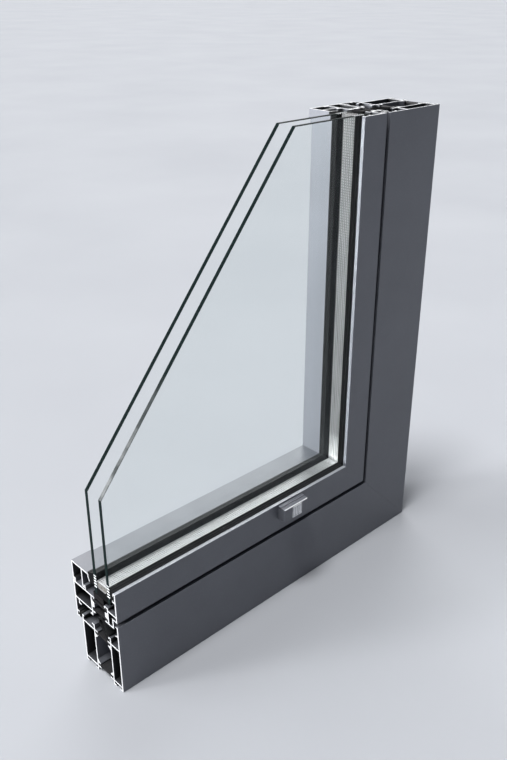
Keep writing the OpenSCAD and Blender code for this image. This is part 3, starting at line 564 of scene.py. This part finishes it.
def skin(bm, rings):
    """Side faces between each ring of vertices and the next."""
    for ring, following in zip(rings, rings[1:]):
        count = len(ring)
        for i in range(count):
            j = (i + 1) % count
            bm.faces.new((ring[i], ring[j], following[j], following[i]))


def end_cap(bm, rings):
    """Closes an end, given its outline and then its holes as lists of vertices."""
    vertices = [vertex for ring in rings for vertex in ring]
    for triangle in tessellate_polygon([[vertex.co for vertex in ring] for ring in rings]):
        corners = [vertices[i] for i in triangle]
        if len(set(corners)) == 3:
            # guards against a triangle that is already there
            try:
                bm.faces.new(corners)
            except ValueError:
                pass


def add_object(name, bm, slot, body, replaced, smooth_angle):
    """Makes the object, parents it to its body and hides the CAD piece it replaces. A smooth angle of
    0 leaves it flat.
    """
    bmesh.ops.remove_doubles(bm, verts=bm.verts, dist=1e-6)
    bmesh.ops.recalc_face_normals(bm, faces=bm.faces)
    mesh = bpy.data.meshes.new(name)
    bm.to_mesh(mesh)
    bm.free()
    mesh.materials.append(MATERIALS[slot])
    for polygon in mesh.polygons:
        polygon.use_smooth = bool(smooth_angle)
    if smooth_angle:
        mesh.set_sharp_from_angle(angle=math.radians(smooth_angle))
    obj = bpy.data.objects.new(name, mesh)
    bpy.context.scene.collection.objects.link(obj)
    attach(obj, body)
    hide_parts(replaced)


# ------------------------------------------------------------------ gaskets
PANE_GAP = 0.05     # mm between a glazing gasket and its pane


def pane_fins(tip, root, start, stop):
    """Fins against a pane, from one inset towards another."""
    points = []
    inset = start
    while inset < stop:
        points += [(root, inset), (tip, inset + 0.25), (tip, inset + 0.85), (root, inset + 1.0)]
        inset += 1.5
    return points


def outer_glazing_section():
    """Foot in the sash pocket, wedge body, fins on the pane, two ridges on the sight line."""
    top = LIP_TOP
    pane = OUTER_PANE_WEATHER - PANE_GAP
    return fillet([
        (1.9, top - 8.6), (3.9, top - 8.6), (3.9, top - 7.7), (5.1, top - 7.7),
        (pane - 1.2, top - 9.2),
        *pane_fins(pane, pane - 0.75, top - 8.8, top + 1.6),
        (pane, top + 2.0), (pane, top + 4.4), (pane - 0.5, top + 4.75), (pane - 1.1, top + 4.3),
        (pane - 1.5, top + 3.4), (pane - 1.9, top + 2.9), (pane - 2.3, top + 2.9),
        (pane - 2.7, top + 2.3), (pane - 3.0, top + 1.5), (pane - 3.5, top + 1.2),
        (3.85, top + 0.7), (3.85, top - 3.2), (2.8, top - 3.2), (2.8, top - 1.7), (1.9, top - 1.7),
    ], radius=0.22, steps=2)


def inner_glazing_section():
    """Wedge pushed between pane and bead, with a ribbed top and fins on the pane."""
    bead = BEAD_TOP
    pane = INNER_PANE_ROOM + PANE_GAP
    edge = BEAD_EDGE - 0.1
    points = [(pane, bead + 5.2), (pane + 0.3, bead + 5.7), (pane + 0.9, bead + 5.7)]
    for rib in (2.0, 3.7, 5.4, 7.1):
        crest = bead + 5.65 - 0.34 * rib
        points += [(pane + rib - 0.62, crest - 0.55), (pane + rib - 0.40, crest),
                   (pane + rib + 0.40, crest - 0.12), (pane + rib + 0.62, crest - 0.65)]
    points += [
        (edge + 0.5, bead + 2.5), (edge + 1.05, bead + 1.9), (edge + 1.05, bead + 0.1),
        (edge, bead + 0.1), (edge, bead - 3.9), (edge - 1.75, bead - 7.2),
        (edge - 1.95, bead - 9.2), (edge - 4.5, bead - 9.2), (edge - 5.7, bead - 6.6),
        (pane + 1.1, bead - 7.6)]
    points += pane_fins(pane, pane + 0.75, bead - 7.4, bead + 3.6)
    return fillet(points, radius=0.2, steps=2)


# hollow gaskets: (depth, height above the rebate floor or the foot of the leg), in mm
CENTRAL_OUTLINE = [
    (15.35, 0.2), (20.4, 0.3), (20.9, 1.4), (22.2, 4.3), (26.6, 8.6), (30.4, 13.0),
    (31.6, 17.6), (30.6, 19.6), (28.4, 21.2), (26.2, 21.9), (23.9, 21.8), (22.4, 19.6),
    (18.4, 12.6), (15.7, 9.2), (15.6, 6.35), (17.55, 6.3), (17.9, 3.2), (15.35, 3.1)]
CENTRAL_HOLE = [
    (19.6, 6.6), (21.4, 6.5), (25.0, 9.9), (28.6, 13.9), (29.5, 17.4),
    (28.6, 18.9), (26.6, 19.8), (25.0, 19.4), (22.4, 15.0), (20.0, 10.9)]
OVERLAP_OUTLINE = [
    (65.9, 1.7), (67.25, 1.7), (67.25, 5.9), (65.9, 5.9), (65.9, 4.9), (64.75, 4.9),
    (64.5, 5.6), (62.9, 6.8), (61.1, 6.6), (60.12, 5.2), (60.12, 2.4), (60.9, 1.2),
    (62.6, 0.9), (64.5, 2.0), (64.75, 2.7), (65.9, 2.7)]
OVERLAP_HOLE = [
    (61.0, 2.8), (61.6, 2.0), (62.6, 1.9), (63.6, 2.9),
    (63.6, 4.8), (62.6, 5.8), (61.6, 5.6), (61.0, 4.8)]


def hollow_loop(table, base, radius):
    return fillet([(depth, base + height) for depth, height in table], radius, steps=3)


def gasket(name, loops, body, replaced):
    """Sweeps a section (outline, then holes) along the rail, round the mitre, up the stile."""
    bm = bmesh.new()
    rail_ends, stile_ends = [], []
    for loop in loops:
        rings = [[bm.verts.new(on_rail(RAIL_LENGTH, *point)) for point in loop],
                 [bm.verts.new(on_rail(inset, depth, inset)) for depth, inset in loop],
                 [bm.verts.new(on_stile(STILE_HEIGHT, *point)) for point in loop]]
        skin(bm, rings)
        rail_ends.append(rings[0])
        stile_ends.append(rings[-1])
    end_cap(bm, rail_ends)
    end_cap(bm, stile_ends)
    add_object(name, bm, "epdm", body, replaced, smooth_angle=40)


gasket("outer_glazing_gasket_ribbed", [outer_glazing_section()], "sash", "outer_glazing_gasket")
gasket("inner_glazing_gasket_ribbed", [inner_glazing_section()], "sash", "inner_glazing_gasket")
gasket("central_gasket_hollow",
       [hollow_loop(CENTRAL_OUTLINE, REBATE_FLOOR, radius=0.8),
        hollow_loop(CENTRAL_HOLE, REBATE_FLOOR, radius=0.9)], "frame", "central_gasket")
gasket("overlap_gasket_bulb",
       [hollow_loop(OVERLAP_OUTLINE, LEG_FOOT, radius=0.35),
        hollow_loop(OVERLAP_HOLE, LEG_FOOT, radius=0.5)], "sash", "overlap_gasket")

# ------------------------------------------------------------------ perforated spacer, in mm
WEATHER = OUTER_PANE_ROOM + 0.35        # depth of the spacer's two sides
ROOM = INNER_PANE_WEATHER - 0.35
MIDDLE = (WEATHER + ROOM) / 2
TOP = high("spacer_rail", "z")          # inset of the perforated wall
BOTTOM = low("spacer_rail", "z")
WALL = 0.45
UNDER = TOP - WALL                      # inner face of the perforated wall
CORNER = 0.25
STRIP_CENTRES = (-5.75, -3.45, -1.15, 1.15, 3.45, 5.75)     # perforated strips, from MIDDLE
STRIP_HALF = 0.7
GROOVE_CENTRES = (-7.05, 7.05)
GROOVE_HALF, GROOVE_DEPTH = 0.28, 0.26
SLOT_HALF, SLOT_LENGTH, SLOT_PITCH = 0.44, 1.5, 2.5
FIRST_SLOT, END_MARGIN = 7.0, 1.0       # solid lengths at the corner and at the sawn end

# outside and inside of the section below the top wall, from the room side to the weather side
SHELL_OUTSIDE = [
    (ROOM - CORNER, TOP), (ROOM, TOP - CORNER), (ROOM, BOTTOM + 2.6), (ROOM - 0.5, BOTTOM + 1.7),
    (ROOM - 2.6, BOTTOM + 0.15), (ROOM - 3.2, BOTTOM), (WEATHER + 3.2, BOTTOM),
    (WEATHER + 2.6, BOTTOM + 0.15), (WEATHER + 0.5, BOTTOM + 1.7), (WEATHER, BOTTOM + 2.6),
    (WEATHER, TOP - CORNER), (WEATHER + CORNER, TOP)]
SHELL_INSIDE = [
    (ROOM - WALL, UNDER), (ROOM - WALL, BOTTOM + 2.7),
    (ROOM - 0.5 - WALL, BOTTOM + 1.7 + WALL * 0.6), (ROOM - 2.9, BOTTOM + WALL),
    (WEATHER + 2.9, BOTTOM + WALL), (WEATHER + 0.5 + WALL, BOTTOM + 1.7 + WALL * 0.6),
    (WEATHER + WALL, BOTTOM + 2.7), (WEATHER + WALL, UNDER)]


def top_strips():
    """The top wall as (low depth, high depth, kind) from the weather side to the room side."""
    marks = [(MIDDLE + centre - STRIP_HALF, MIDDLE + centre + STRIP_HALF, "slots")
             for centre in STRIP_CENTRES]
    for centre in GROOVE_CENTRES:
        groove = MIDDLE + centre
        marks.append((groove - GROOVE_HALF, groove + GROOVE_HALF, "groove"))
    strips = []
    depth = WEATHER + CORNER
    for start, stop, kind in sorted(marks):
        strips += [(depth, start, "flat"), (start, stop, kind)]
        depth = stop
    strips.append((depth, ROOM - CORNER, "flat"))
    return strips


def spacer(name, place, length, replaced):
    bm = bmesh.new()

    def vertex(along, depth, inset):
        return bm.verts.new(place(along, depth, inset))

    def quad(*corners):
        bm.faces.new([vertex(*corner) for corner in corners])

    def panel(a, b):
        """Face between two section points, from the mitre to the sawn end."""
        quad((a[1], *a), (length, *a), (length, *b), (b[1], *b))

    def slotted(left, right):
        """Row of through slots between two depths, with the bridges between them."""
        slots = []
        along = TOP + FIRST_SLOT
        while along + SLOT_LENGTH < length - END_MARGIN:
            slots.append((along, along + SLOT_LENGTH))
            along += SLOT_PITCH
        starts = [None] + [stop for start, stop in slots]
        stops = [start for start, stop in slots] + [length]
        for start, stop in zip(starts, stops):
            for inset in (TOP, UNDER):
                first = inset if start is None else start       # the first begins at the mitre
                quad((first, left, inset), (stop, left, inset),
                     (stop, right, inset), (first, right, inset))
        for start, stop in slots:
            ring = [(start, left), (stop, left), (stop, right), (start, right)]
            for a, b in zip(ring, ring[1:] + ring[:1]):
                quad((*a, TOP), (*b, TOP), (*b, UNDER), (*a, UNDER))

    outline = []
    hole = [(WEATHER + WALL, UNDER)]
    strips = top_strips()
    for start, stop, kind in strips:
        centre = (start + stop) / 2
        left, right = centre - SLOT_HALF, centre + SLOT_HALF
        outline.append((start, TOP))
        if kind == "flat":
            panel((start, TOP), (stop, TOP))
        elif kind == "groove":
            valley = (centre, TOP - GROOVE_DEPTH)
            panel((start, TOP), valley)
            panel(valley, (stop, TOP))
            outline.append(valley)
        else:
            for inset in (TOP, UNDER):
                panel((start, inset), (left, inset))
                panel((right, inset), (stop, inset))
            slotted(left, right)
            outline += [(left, TOP), (right, TOP)]
            hole += [(start, UNDER), (left, UNDER), (right, UNDER), (stop, UNDER)]
    for shell in (SHELL_OUTSIDE, SHELL_INSIDE):
        for a, b in zip(shell, shell[1:]):
            panel(a, b)
    # inner face of the top wall, between the perforated strips
    depth = WEATHER + WALL
    for start, stop, kind in strips:
        if kind == "slots":
            panel((depth, UNDER), (start, UNDER))
            depth = stop
    panel((depth, UNDER), (ROOM - WALL, UNDER))
    # sawn end
    outline += SHELL_OUTSIDE[:-1]
    hole += SHELL_INSIDE[:-1]
    end_cap(bm, [[vertex(length, *point) for point in loop] for loop in (outline, hole[::-1])])
    add_object(name, bm, "spacer_metal", "sash", replaced, smooth_angle=0)


spacer("spacer_rail_perforated", on_rail, RAIL_LENGTH, "spacer_rail")
spacer("spacer_stile_perforated", on_stile, STILE_HEIGHT, "spacer_stile")


# ------------------------------------------------------------------ desiccant
def desiccant():
    """Packed filling in both spacers, with loose beads at the sawn ends."""
    bm = bmesh.new()
    margin = WALL + 0.12
    radius = 0.62
    shoulder = BOTTOM + 2.8         # below this inset the section narrows
    section = fillet([
        (WEATHER + margin, TOP - margin - 2.0), (ROOM - margin, TOP - margin - 2.0),
        (ROOM - margin, shoulder), (ROOM - 3.0, BOTTOM + margin),
        (WEATHER + 3.0, BOTTOM + margin), (WEATHER + margin, shoulder)], radius=0.3, steps=2)
    start = high("spacer_corner_key", "z") + 0.3
    for place, length in ((on_rail, RAIL_LENGTH), (on_stile, STILE_HEIGHT)):
        rings = [[bm.verts.new(place(along, *point)) for point in section]
                 for along in (start, length - 1.0)]
        skin(bm, rings)
        for ring in rings:
            end_cap(bm, [ring])
        row = 0
        inset = TOP - margin - radius
        while inset > BOTTOM + margin + radius * 0.8:
            narrowing = max(0.0, (shoulder - inset) / 2.3)
            half = (ROOM - WEATHER) / 2 - margin - radius - narrowing * 2.4
            across = -half + (radius if row % 2 else 0.0)
            while across <= half:
                centre = Vector(place(length - 0.75 - random.random() * 0.35,
                                      MIDDLE + across + random.uniform(-0.08, 0.08),
                                      inset + random.uniform(-0.08, 0.08)))
                bmesh.ops.create_icosphere(
                    bm, subdivisions=2, radius=radius * random.uniform(0.85, 1.0) * MM,
                    matrix=Matrix.Translation(centre))
                across += 2 * radius
            inset -= 1.75 * radius
            row += 1
    add_object("desiccant_beads", bm, "desiccant", "sash", "desiccant", smooth_angle=60)


desiccant()


# ------------------------------------------------------------------ floor
def floor_material():
    net = Net("floor_pale")
    point = net.position()
    grain = net.noise(point, scale=900.0)
    slow = net.noise(point, scale=2.0, detail=3.0, rough=0.5)
    top = net.principled(
        Base_Color=net.mix(net.remap(slow), (0.276, 0.286, 0.308), (0.296, 0.306, 0.328)),
        Roughness=0.85, Specular_IOR_Level=0.05,
        Normal=net.bump(grain, strength=0.05, distance=0.0003))
    # seen from below the floor is clear, so the underside of the window can be looked at
    below = net.times(net.node("NewGeometry").outputs["Backfacing"],
                      net.node("LightPath").outputs["Is Camera Ray"])
    clear = net.node("BsdfTransparent").outputs[0]
    return net.finish(net.mix_shader(below, top, clear))


def floor():
    cells, reach = 24, 30.0     # squares along a side, and metres from the middle to a side
    bm = bmesh.new()
    lines = [(i / cells * 2 - 1) * reach for i in range(cells + 1)]
    grid = [[bm.verts.new((x, y, 0.0)) for y in lines] for x in lines]
    for i in range(cells):
        for j in range(cells):
            bm.faces.new((grid[i][j], grid[i + 1][j], grid[i + 1][j + 1], grid[i][j + 1]))
    mesh = bpy.data.meshes.new("studio_floor")
    bm.to_mesh(mesh)
    bm.free()
    obj = bpy.data.objects.new("studio_floor", mesh)
    bpy.context.scene.collection.objects.link(obj)
    obj.location = (0, 0, -0.0004)
    mesh.materials.append(floor_material())


floor()


# ------------------------------------------------------------------ world
def world():
    """Dim blue light, with a backdrop as pale as the floor for camera and transmitted rays."""
    studio = bpy.data.worlds.new("studio")
    bpy.context.scene.world = studio
    studio.use_nodes = True
    nodes = studio.node_tree.nodes
    light = nodes["Background"]
    light.inputs[0].default_value = (0.64, 0.74, 1.0, 1)
    light.inputs[1].default_value = 0.09
    pale = nodes.new("ShaderNodeBackground")
    pale.inputs[0].default_value = (0.60, 0.62, 0.66, 1)
    ray = nodes.new("ShaderNodeLightPath")
    seen = nodes.new("ShaderNodeMath")
    seen.operation = "MAXIMUM"
    both = nodes.new("ShaderNodeMixShader")
    link = studio.node_tree.links.new
    link(ray.outputs["Is Camera Ray"], seen.inputs[0])
    link(ray.outputs["Is Transmission Ray"], seen.inputs[1])
    link(seen.outputs[0], both.inputs[0])
    link(light.outputs[0], both.inputs[1])
    link(pale.outputs[0], both.inputs[2])
    link(both.outputs[0], nodes["World Output"].inputs["Surface"])


world()
bpy.context.scene.view_settings.view_transform = "Standard"


# ------------------------------------------------------------------ lights
def add_light(light, location, aim):
    obj = bpy.data.objects.new(light.name, light)
    bpy.context.scene.collection.objects.link(obj)
    obj.location = location
    obj.rotation_euler = aim.to_track_quat("-Z", "Y").to_euler()
    return obj


def sun_light(name, direction, strength, angle):
    """Sun shining from the given direction; angle is its apparent size in degrees."""
    light = bpy.data.lights.new(name, "SUN")
    light.energy = strength
    light.angle = math.radians(angle)
    light.color = (1, 0.995, 0.985)
    toward = Vector(direction).normalized()
    return add_light(light, toward * 4, -toward)


def soft_light(name, location, target, size, power, color=(1, 1, 1)):
    light = bpy.data.lights.new(name, "AREA")
    light.shape = "RECTANGLE"
    light.size, light.size_y = size
    light.energy = power
    light.color = color
    add_light(light, location, Vector(target) - Vector(location))


LOW_BACK_LEFT = (-0.88, 0.47, 0.06)
sun_light("key_left", (-0.62, 0.50, 0.60), strength=1.9, angle=40)
sun_light("key_top", (-0.32, -0.05, 0.94), strength=4.3, angle=16)
sun_light("key_right", (0.50, 0.62, 0.60), strength=1.85, angle=40)
sun_light("low_back_left", LOW_BACK_LEFT, strength=4.0, angle=14)
low_soft = sun_light("low_back_left_soft", LOW_BACK_LEFT, strength=8.6, angle=14)
low_soft.visible_glossy = False
soft_light("fill_front", (-0.4, -2.6, 1.0), target=(-0.2, 0.03, 0.2), size=(2.4, 1.4),
           power=1.2, color=(0.78, 0.87, 1.0))
soft_light("edge_front", (1.05, -0.86, 1.40), target=(-0.2, 0.0, 0.11), size=(0.6, 0.6), power=1.6)


# ------------------------------------------------------------------ camera
def camera():
    azimuth = math.radians(-43.60)      # about z, from -y
    elevation = math.radians(26.09)
    lens = bpy.data.cameras.new("camera")
    obj = bpy.data.objects.new("camera", lens)
    bpy.context.scene.collection.objects.link(obj)
    bpy.context.scene.camera = obj
    lens.sensor_fit = "AUTO"
    lens.sensor_width = 36.0
    lens.lens = 40.04621
    lens.clip_start, lens.clip_end = 0.02, 100.0
    backward = Vector((math.sin(azimuth) * math.cos(elevation),
                       -math.cos(azimuth) * math.cos(elevation), math.sin(elevation)))
    obj.location = (-0.72919, -0.50029, 0.60465)
    obj.rotation_mode = "QUATERNION"
    obj.rotation_quaternion = (-backward).to_track_quat("-Z", "Y")


camera()
